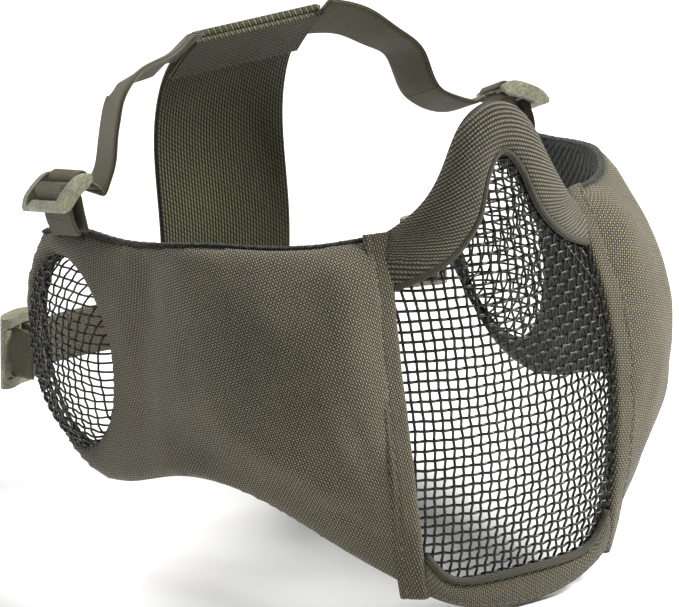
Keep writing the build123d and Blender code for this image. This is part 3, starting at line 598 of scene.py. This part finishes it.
low_x = chin_line[:, 0]
arc_r = ((SEAM_LOW_X + 1) ** 2 + (SEAM_LOW_Z - CHIN_LOW_Z) ** 2) / (2 * (SEAM_LOW_Z - CHIN_LOW_Z))
chin_low = np.stack([low_x * 0.985, CHIN_LOW_Z + arc_r - np.sqrt(arc_r ** 2 - (low_x * 0.985) ** 2)], 1)
CHIN_SECTION = [(0.05, -0.6), (0.02, 0.6), (0.08, 1.5), (0.25, 2.0), (0.5, 2.15), (0.7, 2.05), (0.8, 1.8),
                (0.9, 1.75), (0.98, 1.0), (1.0, -0.2), (0.98, -1.2), (0.7, -1.4), (0.3, -1.3)]
chin_band = skins("chin_band_fabric", [band_rings(chin_line, chin_low, CHIN_SECTION)], FOLD)
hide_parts("chin_band")
CHIN_BACK = [(0.04, -1.5), (0.4, -1.6), (0.8, -1.65), (0.98, -2.0), (0.97, -3.0), (0.7, -3.4), (0.3, -3.4),
             (0.04, -2.8)]
chin_back = skins("chin_band_lining", [band_rings(chin_line, chin_low, CHIN_BACK)], LINING)
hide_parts("chin_lining")
pipe, pipe_normal = front_at(chin_line[:, 0] * 0.985, chin_line[:, 1] + 0.9, np.full(len(chin_line), 0.8))
chin_pipe = skins("chin_band_piping", [tube(pipe, pipe_normal, 1.2, 10)], PIPING)
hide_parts("chin_binding")
row = chin_line + (chin_low - chin_line) * 0.8
row, row_normal = front_at(row[4:-4, 0], row[4:-4, 1], np.full(len(row) - 8, 1.75))
chin_thread = skins("chin_band_stitches", stitch_row(row, row_normal), THREAD)
for piece in (nose_band, nose_back, nose_pipe, chin_band, chin_back, chin_pipe, chin_thread):
    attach(piece, "front")


# ---- the side surface -----------------------------------------------------------------------------
GRID_Z = np.arange(-80.0, 64.0, 1.0)
GRID_STEP = 0.5
GRID_S = np.arange(0.0, 190.0, GRID_STEP)


def plan_curve(z):
    """The left side in plan at height z, evenly walked from the seam to past the ear."""
    full = FULL_LEAST + FULL_MORE * math.exp(-((z - FULL_Z) / FULL_SPREAD) ** 2)
    power = 2.0 / full
    angle = np.linspace(0, 1, 400) ** 1.5 * math.pi / 2
    start_x = float(seam_x(z)) + SEAM_GAP
    x = start_x + (SIDE_X - start_x) * np.sin(angle) ** power
    y = SIDE_Y - (SIDE_Y - float(seam_y(z))) * np.maximum(np.cos(angle), 0) ** power
    back = np.linspace(SIDE_Y, EAR_REAR_Y + 30.0, 120)[1:]
    x = np.concatenate([x, SIDE_X - EAR_TUCK * ((back - SIDE_Y) / (EAR_REAR_Y - SIDE_Y)) ** 2])
    y = np.concatenate([y, back])
    s = np.concatenate([[0], np.cumsum(np.hypot(np.diff(x), np.diff(y)))])
    return np.interp(GRID_S, s, x), np.interp(GRID_S, s, y)


curves = [plan_curve(z) for z in GRID_Z]
grid = np.stack([np.stack([x, y, np.full_like(x, z)], 1) for (x, y), z in zip(curves, GRID_Z)])
grid_normal = unit(np.cross(np.gradient(grid, axis=1), np.gradient(grid, axis=0)))


def look_up(table, s, z):
    i = np.clip((z - GRID_Z[0]), 0, len(GRID_Z) - 1.001)
    j = np.clip(s / GRID_STEP, 0, len(GRID_S) - 1.001)
    i0, j0 = i.astype(int), j.astype(int)
    a, b = (i - i0)[..., None], (j - j0)[..., None]
    return ((table[i0, j0] * (1 - b) + table[i0, j0 + 1] * b) * (1 - a)
            + (table[i0 + 1, j0] * (1 - b) + table[i0 + 1, j0 + 1] * b) * a)


def side_at(s, z, inset=0.0):
    """Points of the left side, s millimetres round from the seam, and their outward normals."""
    s, z = np.asarray(s, float), np.asarray(z, float)
    points, normal = look_up(grid, np.maximum(s, 0), z), unit(look_up(grid_normal, np.maximum(s, 0), z))
    points = points + np.minimum(s, 0)[..., None] * np.array([1.0, 0.25, 0.0])
    return points - normal * np.asarray(inset)[..., None], normal


def walk_to(y, z):
    """How far round from the seam the side reaches depth y at height z."""
    rows = np.clip(np.round(z - GRID_Z[0]).astype(int), 0, len(GRID_Z) - 1)
    return np.array([np.interp(b, grid[r, :, 1], GRID_S) for b, r in zip(y, rows)])


def edge_in_s(points, count):
    line = through(points, 200)
    flat = np.stack([walk_to(line[:, 0], line[:, 1]), line[:, 1]], 1)
    flat = flat[flat[:, 0] > 0.05]
    return evenly(flat, count)


top_line, rear_line, low_line = edge_in_s(TOP_EDGE, 84), edge_in_s(REAR_EDGE, 56), edge_in_s(LOW_EDGE, 84)
seam_line = np.stack([np.zeros(56), np.linspace(low_line[-1, 1] - 0.3, top_line[0, 1] + 0.1, 56)], 1)
tilt = math.radians(90 - WINDOW_TILT)
turn = np.linspace(0, 2 * math.pi, 73)[:-1]
oval = np.stack([WINDOW_LONG * np.cos(turn), WINDOW_WIDE * np.sin(turn)], 1)
oval_y = WINDOW_Y + oval[:, 0] * math.cos(tilt) - oval[:, 1] * math.sin(tilt)
oval_z = WINDOW_Z + oval[:, 0] * math.sin(tilt) + oval[:, 1] * math.cos(tilt)
window_line = np.stack([walk_to(oval_y, oval_z), oval_z], 1)
outline = np.vstack([seam_line, top_line[1:], rear_line[1:], low_line[1:-1]])


def distance_to(points, line, closed=False):
    ends = np.roll(line, -1, 0) if closed else line[1:]
    starts = line if closed else line[:-1]
    best = np.full(len(points), 1e9)
    for a, b in zip(starts, ends):
        d = b - a
        t = np.clip(((points - a) @ d) / max(d @ d, 1e-9), 0, 1)
        best = np.minimum(best, np.linalg.norm(points - (a + t[:, None] * d), axis=1))
    return best


def within(points, line):
    inside = np.zeros(len(points), bool)
    for a, b in zip(line, np.roll(line, -1, 0)):
        crosses = (a[1] > points[:, 1]) != (b[1] > points[:, 1])
        if abs(b[1] - a[1]) > 1e-12:
            at = a[0] + (points[:, 1] - a[1]) * (b[0] - a[0]) / (b[1] - a[1])
            inside ^= crosses & (points[:, 0] < at)
    return inside


def cloth_plan(spacing=1.9):
    """The side's flat pattern as a triangle net with a clean edge and window."""
    rows = np.arange(-70.0, 54.0, spacing * 0.866)
    net = np.array([(s + (k % 2) * spacing / 2, z) for k, z in enumerate(rows)
                    for s in np.arange(0.0, 170.0, spacing)])
    net = net[within(net, outline) & ~within(net, window_line)]
    net = net[(distance_to(net, outline, True) > spacing * 0.6)
              & (distance_to(net, window_line, True) > spacing * 0.6)]
    points = np.vstack([outline, window_line, net])
    n, m = len(outline), len(window_line)
    edges = [(k, (k + 1) % n) for k in range(n)] + [(n + k, n + (k + 1) % m) for k in range(m)]
    made = delaunay_2d_cdt([Vector(p) for p in points], edges, [], 0, 1e-5)
    flat = np.array([list(v) for v in made[0]])
    faces = [f for f in made[2] if len(f) == 3]
    middle = np.array([flat[list(f)].mean(0) for f in faces])
    keep = within(middle, outline) & ~within(middle, window_line)
    faces = [f for f, k in zip(faces, keep) if k]
    used = sorted({v for f in faces for v in f})
    index = {v: k for k, v in enumerate(used)}
    return flat[used], [tuple(index[v] for v in f) for f in faces]


plan, plan_faces = cloth_plan()
free_edge = np.minimum(distance_to(plan, np.vstack([top_line, rear_line[1:], low_line[1:]])),
                       distance_to(plan, window_line, True))
any_edge = np.minimum(free_edge, distance_to(plan, seam_line))
on_edge = any_edge < 0.02
plan_depth = look_up(grid, plan[:, 0], plan[:, 1])[:, 1]


def bell(value, middle, spread):
    return np.exp(-((value - middle) / spread) ** 2)


def crease(s, z, at, lean, spread, reach):
    """A soft ridge through a point, leaning by an angle, spread across and reach along."""
    c, n = math.cos(lean), math.sin(lean)
    along, across = (s - at[0]) * c + (z - at[1]) * n, -(s - at[0]) * n + (z - at[1]) * c
    return np.exp(-(across / spread) ** 2 - (along / reach) ** 2)


def rounded(distance, radius):
    """0 at the edge, rising like a quarter circle to 1."""
    return np.sqrt(np.clip(1 - (1 - np.clip(distance / radius, 0, 1)) ** 2, 0, 1))


# soft creases of the padded side: place in the flat pattern, lean, width, length and height
CREASES = [((30, -22), 0.9, 3.4, 13, 1.0), ((20, -34), 0.75, 3.0, 12, -0.9),
           ((44, -14), 0.5, 4.0, 16, 0.8), ((14, -14), 1.25, 3.2, 14, -0.6),
           ((70, -16), 0.2, 4.5, 18, -0.7), ((54, 24), -0.3, 5.5, 20, 0.5)]


def side_relief(near):
    """How far the padded cover stands out of the plain surface."""
    s, z, y = plan[:, 0], plan[:, 1], plan_depth
    soft = np.clip(free_edge / 14.0, 0, 1)
    out = 0.9 * soft * (2 - soft)
    out += 2.6 * bell(s, 15.0, 9.0) * bell(z, 32.0, 20.0) * np.clip(free_edge / 8, 0, 1)
    out += 1.0 * bell(s, 62.0, 24.0) * bell(z, 6.0, 26.0)
    out -= 1.9 * bell(y, -36.0, 8.0) * np.clip((z + 45) / 60, 0.2, 1)
    for at, lean, spread, reach, height in CREASES:
        out += height * (1.0 if near else 0.7) * crease(s, z, at, lean, spread, reach)
    phase = 0.0 if near else 2.1
    out += 0.28 * np.sin(0.10 * s + 0.07 * z + phase) + 0.2 * np.sin(0.17 * z - 0.09 * s + 1.3 + phase)
    out += 0.12 * np.sin(0.31 * s + 0.21 * z + phase) * np.sin(0.27 * z - 0.2 * s)
    return out * np.clip(any_edge / 5, 0, 1)


def pillow(name, side, outer, inner, material):
    """A closed padded form over the flat pattern; outer and inner are insets, equal at the edge."""
    flip = np.array([1.0 if side == "left" else -1.0, 1.0, 1.0])
    face, _ = side_at(plan[:, 0], plan[:, 1], outer)
    back, _ = side_at(plan[:, 0], plan[:, 1], inner)
    second = np.cumsum(~on_edge) - 1 + len(plan)
    other = np.where(on_edge, np.arange(len(plan)), second)
    verts = np.vstack([face, back[~on_edge]]) * flip
    faces = [f for f in plan_faces] + [tuple(other[v] for v in reversed(f)) for f in plan_faces]
    coords = np.vstack([plan, plan[~on_edge]])
    return make(name, verts, faces, coords, material)


FOAM_BACK = 4.0                             # inset of the padding's inner face
RIM_MIDDLE = 2.5                            # inset of the turned edge
LINING_BACK = 5.0
# section of the seam's folded strip: along the side from the seam, and inset; its dip holds the stitches
FOLD_SECTION = [(-1.5, 0.6), (-1.7, 0.0), (-1.45, -0.9), (-0.7, -1.6), (0.4, -1.85), (1.8, -1.6),
                (3.2, -1.4), (4.4, -1.35), (5.0, -0.95), (5.6, -1.3), (6.4, -1.25), (7.1, -0.9),
                (7.4, -0.1), (7.0, 0.9), (3.0, 0.8)]


def hinge_blend(piece):
    """Bakes a side piece's transform into its mesh."""
    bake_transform(piece)


def build_side(side):
    near = side == "right"
    flip = np.array([1.0 if side == "left" else -1.0, 1.0, 1.0])
    relief = side_relief(near)
    radius = np.where(distance_to(plan, window_line, True) < 8, 3.2, 5.0)
    edge_out = rounded(free_edge, radius) * rounded(distance_to(plan, seam_line) + 0.6, 3.0)
    outer = RIM_MIDDLE * (1 - edge_out) - relief
    inner = RIM_MIDDLE + (FOAM_BACK - RIM_MIDDLE) * rounded(any_edge, 3.0)
    outer[on_edge] = inner[on_edge]
    cover = pillow(f"{side}_cover", side, outer, inner, COVER)
    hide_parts(f"{side}_cheek_cover", f"{side}_cheek_foam", f"{side}_ear_cover",
                f"{side}_ear_padding")
    hinge_blend(cover)
    middle = (FOAM_BACK + LINING_BACK) / 2 + 0.1
    ridges = 0.22 * np.sin((plan[:, 0] + plan[:, 1]) * 1.4)
    puff = rounded(any_edge, 2.5)
    back_in = middle + (0.55 + 0.5 * bell(plan_depth, -75, 30) + ridges) * puff
    lining = pillow(f"{side}_lining", side, np.where(on_edge, middle, middle - 0.45 * puff),
                    np.where(on_edge, middle, back_in), LINING)
    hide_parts(f"{side}_cheek_lining", f"{side}_ear_lining")
    hinge_blend(lining)
    # knit binding along the top edge
    line, normal = side_at(top_line[:, 0], top_line[:, 1] - 0.1, np.full(len(top_line), RIM_MIDDLE + 0.6))
    line, normal = evenly(line * flip, 260), unit(evenly(normal * flip, 260))
    rings, uv = tube(line, normal, 1.0, 10, 1.7)
    fuzz = 1 + 0.10 * np.sin(np.arange(260)[:, None] * 2.1 + np.arange(10)[None] * 1.7) \
        + 0.07 * np.sin(np.arange(260)[:, None] * 0.83 + np.arange(10)[None] * 2.9)
    rings = line[:, None] + (rings - line[:, None]) * fuzz[:, :, None]
    binding = skins(f"{side}_top_binding", [(rings, uv)], EDGING)
    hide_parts(f"{side}_cheek_edging")
    hinge_blend(binding)
    # folded strip along the seam
    z = np.linspace(seam_line[0, 1] - 0.6, seam_line[-1, 1] + 0.6, 90)
    s = np.array([a for a, _ in FOLD_SECTION])[None] + np.zeros((90, 1))
    lift = np.array([h for _, h in FOLD_SECTION])[None] + 0.12 * np.sin(z * 0.35 + s.mean(0)[0])[:, None]
    rings, normal = side_at(s, z[:, None] + np.zeros_like(s), lift)
    coords = np.stack([s, z[:, None] + np.zeros_like(s)], 2)
    fold = skins(f"{side}_seam_fold", [(rings * flip, coords)], FOLD)
    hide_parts(f"{side}_seam_strip")
    hinge_blend(fold)
    line, normal = side_at(np.full(88, 5.0), z[1:-1], np.full(88, -1.0))
    thread = skins(f"{side}_seam_stitches", stitch_row(line * flip, normal * flip), THREAD)
    hinge_blend(thread)
    # woven wire dome of the ear window
    dome = skins(f"{side}_ear_wire", ear_wires(flip), WIRE)
    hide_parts(f"{side}_ear_mesh")
    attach(dome, f"{side}_side")


EAR_PITCH, EAR_R, EAR_WAVE = 2.75, 0.36, 0.33
RIM_X = SIDE_X - EAR_TUCK * ((WINDOW_Y - SIDE_Y) / (EAR_REAR_Y - SIDE_Y)) ** 2 - COVER_T - RIM_DROP


def dome_at(a, b):
    """The dome over the window plane: a and b are level and upright in side view, from its centre."""
    along, across = a * math.cos(tilt) + b * math.sin(tilt), -a * math.sin(tilt) + b * math.cos(tilt)
    r2 = (along / (WINDOW_LONG + WINDOW_LIP)) ** 2 + (across / (WINDOW_WIDE + WINDOW_LIP)) ** 2
    rise = (DOME_H + RIM_DROP - 0.5) * np.sqrt(np.clip(1 - r2, 0, 1))
    return np.stack([RIM_X + RIM_SLOPE * a + rise, WINDOW_Y + a, WINDOW_Z + b], -1), r2


def ear_wires(flip):
    parts, sub = [], 4
    reach = WINDOW_LONG + 3.0
    count = int(reach / EAR_PITCH)
    steps = np.arange(-count * sub, count * sub + 1) / sub

    def pulled(i, j):
        """Wire cloth stretched over the dome: the squares lean and open."""
        a = EAR_PITCH * i + 0.8 * np.sin(0.35 * j + 0.4) + 0.35 * np.sin(0.9 * i + 0.6 * j)
        b = EAR_PITCH * 0.93 * j + 0.9 * np.sin(0.30 * i + 1.0) + 0.3 * np.sin(0.8 * j - 0.7 * i)
        return a, b

    for k in range(-count, count + 1):
        for level in (True, False):
            i, j = (steps, np.full_like(steps, k)) if level else (np.full_like(steps, k), steps)
            a, b = pulled(i, j)
            points, r2 = dome_at(a, b)
            keep = r2 < 1.12
            if keep.sum() < 6:
                continue
            first, last = np.argmax(keep), len(keep) - np.argmax(keep[::-1])
            points = points[first:last]
            beside_a, _ = dome_at(a[first:last] + 0.2, b[first:last])
            beside_b, _ = dome_at(a[first:last], b[first:last] + 0.2)
            normal = unit(np.cross(beside_a - points, beside_b - points))
            wave = EAR_WAVE * np.cos(math.pi * steps[first:last]) * (-1) ** k * (1 if level else -1)
            line = points + normal * wave[:, None]
            parts.append(tube(line * flip, normal * flip, EAR_R, 6))
    return parts


for side_name in ("left", "right"):
    build_side(side_name)


# ---- buckles, tabs and strap loops ------------------------------------------------------------------
def in_profile(which, points):
    """Points of a buckle's profile plane, up its slope and out along its normal, and its bar direction."""
    middle, bar, normal, _ = (np.array(v, float) for v in BUCKLES[which])
    bar, normal = unit(bar), unit(normal)
    p = np.array(points, float)
    return middle + p[:, :1] * np.cross(normal, bar) + p[:, 1:] * normal, bar


for side_name in ("left", "right"):
    for which, tab_line in (("top", LEFT_TAB_LINE if side_name == "left" else RIGHT_TAB_LINE),
                            ("neck", NECK_TAB_LINE)):
        place = f"{side_name}_{which}"
        sub_body, side_body = f"{place}_buckle", f"{side_name}_side"
        wide = STRAP_W if which == "top" else NECK_STRAP_W
        line, bar = in_profile(place, through(tab_line, 60))
        tab = skins(f"{place}_tab_webbing", [webbing(line, np.repeat(bar[None], 60, 0), wide, TAB_T * 1.15)],
                    TAB)
        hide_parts(f"{place}_tab")
        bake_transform(tab)
        loop_r = BAR_R + EYE_CLEAR + TAB_T / 2
        tail = BUCKLES[place][3]
        around = np.radians(tail + np.linspace(28, 332, 44))
        loop = np.stack([BAR_PITCH + loop_r * np.cos(around), loop_r * np.sin(around)], 1)
        out = np.array([math.cos(math.radians(tail)), math.sin(math.radians(tail))])
        tail_line = np.array([(BAR_PITCH, 0.0)]) + np.array([[0.6], [0.8], [1.02]]) * EYE_TAIL * out
        line, bar = in_profile(place, loop)
        tail_line, _ = in_profile(place, tail_line)
        eye = skins(f"{place}_strap_loop",
                    [webbing(line, np.repeat(bar[None], 44, 0), wide, TAB_T),
                     webbing(tail_line, np.repeat(bar[None], 3, 0), wide, STRAP_T)],
                    STRAP)
        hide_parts(f"{place}_eye")
        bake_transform(eye)
        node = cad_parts[sub_body]
        node.data.materials.clear()
        node.data.materials.append(NYLON)
        soften = node.modifiers.new("soft_edges", "BEVEL")
        soften.width, soften.segments, soften.limit_method = 0.25 * MM, 2, "ANGLE"


# ---- straps -----------------------------------------------------------------------------------------
def route_line(points, across, count):
    """The middle line and width directions of webbing that turns as it goes."""
    line = through([(*p, *w) for p, w in zip(points, across)], count)
    return line[:, :3], unit(line[:, 3:])


def strap(name, line, across, width=STRAP_W):
    return skins(name, [webbing(line, across, width, STRAP_T)], STRAP)


EDGE = (0, 0, 1)
for side_name, route, join_at in (("left", LEFT_ROUTE, LEFT_JOIN), ("right", RIGHT_ROUTE, RIGHT_JOIN)):
    sign = 1 if side_name == "left" else -1
    line, across = route_line(*zip(*route), 161)
    join = np.array(route[join_at][0])
    cut = int(np.argmin(np.linalg.norm(line - join, axis=1)))
    drop = strap(f"{side_name}_top_strap_outer", line[:cut + 1], across[:cut + 1])
    run = strap(f"{side_name}_top_strap_upper", line[cut:], across[cut:])
    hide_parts(f"{side_name}_top_strap_drop")
    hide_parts(f"{side_name}_top_strap_run")
    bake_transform(drop)
    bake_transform(run)
    outer_line = route_line([(sign * x, y, NECK_Z) for x, y in NECK_SIDE], [EDGE] * 4, 20)
    rear_line = route_line([(sign * x, y, NECK_Z) for x, y in NECK_REAR], [EDGE] * 4, 40)
    outer_part = strap(f"{side_name}_neck_strap_outer", *outer_line, NECK_STRAP_W)
    rear = strap(f"{side_name}_neck_strap_inner", *rear_line, NECK_STRAP_W)
    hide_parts(f"{side_name}_neck_strap_side")
    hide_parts(f"{side_name}_neck_strap_rear")
    join, buckle_end, panel_end = ((sign * x * MM, 0, 0) for x in (NECK_SIDE[-1][0], NECK_SIDE[0][0],
                                                                 NECK_REAR[-1][0]))
    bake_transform(outer_part)
    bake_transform(rear)

middle = strap("neck_strap_centre", *route_line([(x, NECK_CENTRE_Y, NECK_Z) for x in (-25, -8, 8, 25)],
                                                [EDGE] * 4, 30), NECK_STRAP_W)
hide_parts("neck_strap_middle")
line = through([(0, y, z) for y, z in PANEL_LINE], 90)
panel = skins("back_panel_elastic",
              [webbing(line, np.repeat([[1.0, 0, 0]], 90, 0), PANEL_W, PANEL_T, 0.22, 1.12, 181)],
              BACK)
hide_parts("back_panel")
line = through([(0, y, z) for y, z in PANEL_LINE[-3:]], 30)
across = np.repeat([[1.0, 0, 0]], 30, 0)
normal = unit(np.cross(tangents(line), across))
front_side = -SLEEVE_DEPTH if normal[0, 1] > 0 else SLEEVE_DEPTH
sleeve_webbing = webbing(line + normal * front_side, across, PANEL_W, STRAP_T, 0.15, 1.12, 181)
sleeve = skins("panel_top_sleeve", [sleeve_webbing], BACK)
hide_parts("panel_sleeve")
for piece in (middle, panel, sleeve):
    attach(piece, "harness")

# ---- floor --------------------------------------------------------------------------------------------
FLOOR_SIZE = 14.0
floor_mesh = bpy.data.meshes.new("floor")
half_floor, floor_z = FLOOR_SIZE / 2, cad_box[0][2] - 0.0006
corners = [(-1, -1), (1, -1), (1, 1), (-1, 1)]
floor_mesh.from_pydata([(x * half_floor, y * half_floor, floor_z) for x, y in corners], [], [(0, 1, 2, 3)])
floor = bpy.data.objects.new("floor", floor_mesh)
bpy.context.scene.collection.objects.link(floor)
pale = Shade("pale_floor", Roughness=0.9)
floor_mesh.materials.append(pale.finish(pale.ramp(pale.noise(3.0), [(0.3, (0.86, 0.86, 0.86)),
                                                                   (0.7, (0.9, 0.9, 0.9))])))
